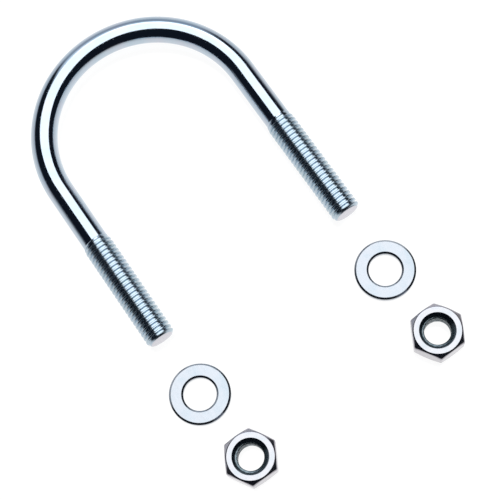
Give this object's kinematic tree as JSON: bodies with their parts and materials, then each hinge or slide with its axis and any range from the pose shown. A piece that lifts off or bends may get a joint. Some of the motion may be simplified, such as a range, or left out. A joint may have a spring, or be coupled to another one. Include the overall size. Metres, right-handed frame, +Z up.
{
  "type": "u-bolt",
  "caption": "Round-bend U-bolt in bright zinc-plated steel, laid flat with a plain washer and a hex nut in line with each threaded leg.",
  "frame": {"origin": "middle of the whole layout's footprint, on the surface that it lies on", "axes": "+Y from the legs' ends towards the bend, +X from the left leg to the right leg, +Z up, square to the plane of the U"},
  "size_m": [0.074, 0.1274, 0.0079],
  "materials": {
    "bright_zinc_rod": "polished bright zinc plate on drawn and rolled steel",
    "satin_zinc_washer": "satin zinc plate on stamped steel",
    "bright_zinc_nut": "bright zinc plate on forged steel with turned faces"
  },
  "bodies": {
    "u_bolt": {"u_bolt": "bright_zinc_rod"},
    "washer_left": {"washer_left": "satin_zinc_washer"},
    "washer_right": {"washer_right": "satin_zinc_washer"},
    "nut_left": {"nut_left": "bright_zinc_nut"},
    "nut_right": {"nut_right": "bright_zinc_nut"}
  },
  "joints": [
    {"name": "washer_left_turn", "type": "hinge", "parent": "u_bolt", "child": "washer_left", "pos_m": [-0.02896, -0.0349, 0], "axis": [0, 0, 1], "continuous": true},
    {"name": "washer_right_turn", "type": "hinge", "parent": "u_bolt", "child": "washer_right", "pos_m": [0.02868, -0.03546, 0], "axis": [0, 0, 1], "continuous": true},
    {"name": "nut_left_turn", "type": "hinge", "parent": "u_bolt", "child": "nut_left", "pos_m": [-0.02743, -0.05636, 0], "axis": [0, 0, 1], "continuous": true},
    {"name": "nut_right_turn", "type": "hinge", "parent": "u_bolt", "child": "nut_right", "pos_m": [0.02946, -0.0571, 0], "axis": [0, 0, 1], "continuous": true}
  ]
}
